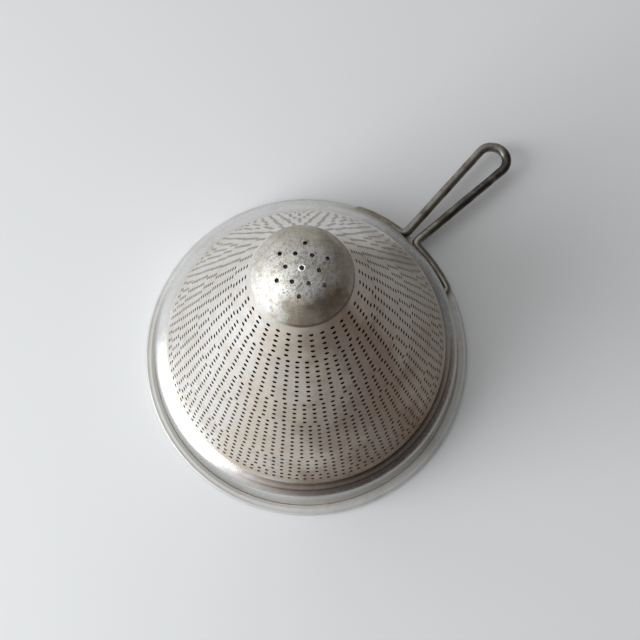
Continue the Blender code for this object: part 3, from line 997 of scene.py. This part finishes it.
def make_stage():
    floor_mesh = bpy.data.meshes.new("floor")
    half = FLOOR_HALF
    floor_mesh.from_pydata([(-half, -half, 0), (half, -half, 0), (half, half, 0), (-half, half, 0)],
                           [], [(0, 1, 2, 3)])
    floor = bpy.data.objects.new("floor", floor_mesh)
    bpy.context.scene.collection.objects.link(floor)
    paint = bpy.data.materials.new("pale_floor")
    paint.use_nodes = True
    shader = paint.node_tree.nodes["Principled BSDF"]
    shader.inputs["Base Color"].default_value = (0.85, 0.86, 0.87, 1)
    shader.inputs["Roughness"].default_value = 0.6
    floor_mesh.materials.append(paint)

    make_surroundings()
    window = bpy.data.lights.new("window", "AREA")
    window.shape = "RECTANGLE"
    window.size = 1.2
    window.size_y = 1.1
    window.energy = 20.5
    window.color = (0.97, 0.99, 1.0)
    lamp = bpy.data.objects.new("window", window)
    bpy.context.scene.collection.objects.link(lamp)
    lamp.location = seen_from_camera(*WINDOW_PLACE)
    lamp.rotation_mode = "QUATERNION"
    lamp.rotation_quaternion = (lamp.location - AXIS - WINDOW_AIM).to_track_quat("Z", "Y")


# brightness of the room at eye level, by direction in degrees from the camera's right
ROOM = ((0, 0.16), (20, 0.11), (40, 0.12), (55, 0.18), (70, 0.42), (95, 0.62), (130, 0.72),
        (160, 0.82), (180, 0.95), (205, 0.95), (228, 0.8), (240, 0.6), (250, 0.42), (262, 0.28),
        (275, 0.15), (292, 0.08), (325, 0.07), (345, 0.10))
CEILING = 0.70
CEILING_MIDDLE = Vector((-0.43, 0.25, 0.87)).normalized()


def make_surroundings():
    """A dim room: lighter behind and to the left, dark to the right and in front, pale overhead."""
    world = bpy.data.worlds.new("studio")
    bpy.context.scene.world = world
    world.use_nodes = True
    nodes, links = world.node_tree.nodes, world.node_tree.links
    coords = nodes.new("ShaderNodeTexCoord")
    turn = nodes.new("ShaderNodeVectorRotate")
    turn.rotation_type = "Z_AXIS"
    turn.inputs["Angle"].default_value = -VIEW_TURN
    links.new(coords.outputs["Generated"], turn.inputs["Vector"])
    split = nodes.new("ShaderNodeSeparateXYZ")
    links.new(turn.outputs[0], split.inputs[0])
    angle = nodes.new("ShaderNodeMath")
    angle.operation = "ARCTAN2"
    links.new(split.outputs["Y"], angle.inputs[0])
    links.new(split.outputs["X"], angle.inputs[1])
    share = nodes.new("ShaderNodeMath")
    share.operation = "MULTIPLY"
    links.new(angle.outputs[0], share.inputs[0])
    share.inputs[1].default_value = 1 / math.tau
    whole = nodes.new("ShaderNodeMath")
    whole.operation = "WRAP"
    links.new(share.outputs[0], whole.inputs[0])
    whole.inputs[1].default_value = 1
    whole.inputs[2].default_value = 0
    ramp = nodes.new("ShaderNodeValToRGB")
    links.new(whole.outputs[0], ramp.inputs["Fac"])
    stops = ramp.color_ramp.elements
    while len(stops) < len(ROOM) + 1:
        stops.new(0.5)
    for stop, (degrees, level) in zip(stops, (*ROOM, (360, ROOM[0][1]))):
        stop.position = degrees / 360
        stop.color = (level, level, level, 1)
    overhead = nodes.new("ShaderNodeVectorMath")
    overhead.operation = "DOT_PRODUCT"
    links.new(turn.outputs[0], overhead.inputs[0])
    overhead.inputs[1].default_value = CEILING_MIDDLE
    lift = nodes.new("ShaderNodeMapRange")
    lift.interpolation_type = "SMOOTHSTEP"
    links.new(overhead.outputs["Value"], lift.inputs["Value"])
    lift.inputs["From Min"].default_value = 0.62
    lift.inputs["From Max"].default_value = 0.95
    mix = nodes.new("ShaderNodeMix")
    mix.data_type = "RGBA"
    links.new(lift.outputs[0], mix.inputs[0])
    links.new(ramp.outputs[0], mix.inputs[6])
    mix.inputs[7].default_value = (CEILING, CEILING, CEILING, 1)
    sky = nodes["Background"]
    links.new(mix.outputs[2], sky.inputs["Color"])


def make_camera():
    data = bpy.data.cameras.new("camera")
    camera = bpy.data.objects.new("camera", data)
    bpy.context.scene.collection.objects.link(camera)
    data.sensor_width = 36
    data.lens = LENS
    data.clip_start = 0.01
    aim = Matrix.Translation(seen_from_camera(*CAMERA_PLACE)) @ Matrix.Rotation(VIEW_TURN, 4, "Z")
    for degrees, axis in CAMERA_TURNS:
        aim = aim @ Matrix.Rotation(math.radians(degrees), 4, axis)
    camera.matrix_world = aim
    bpy.context.scene.camera = camera
    bpy.context.scene.view_settings.view_transform = "Standard"


def main():
    make_camera()
    make_stage()
    matte = matte_aluminium()
    stained = stained_aluminium()
    polished = polished_aluminium()
    steel = dark_steel()
    inside_shade = shaded_inside_aluminium()
    darkening = hole_shade_and_grime()
    make_perforated_cone(matte, inside_shade, darkening)
    make_domed_tip(stained, inside_shade, darkening)
    make_polished_band(polished)
    make_bead_rim(satin_aluminium())
    make_bent_wire(steel)
    rim_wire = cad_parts["rim_wire"]
    rim_wire.data.materials.clear()
    rim_wire.data.materials.append(steel)


main()
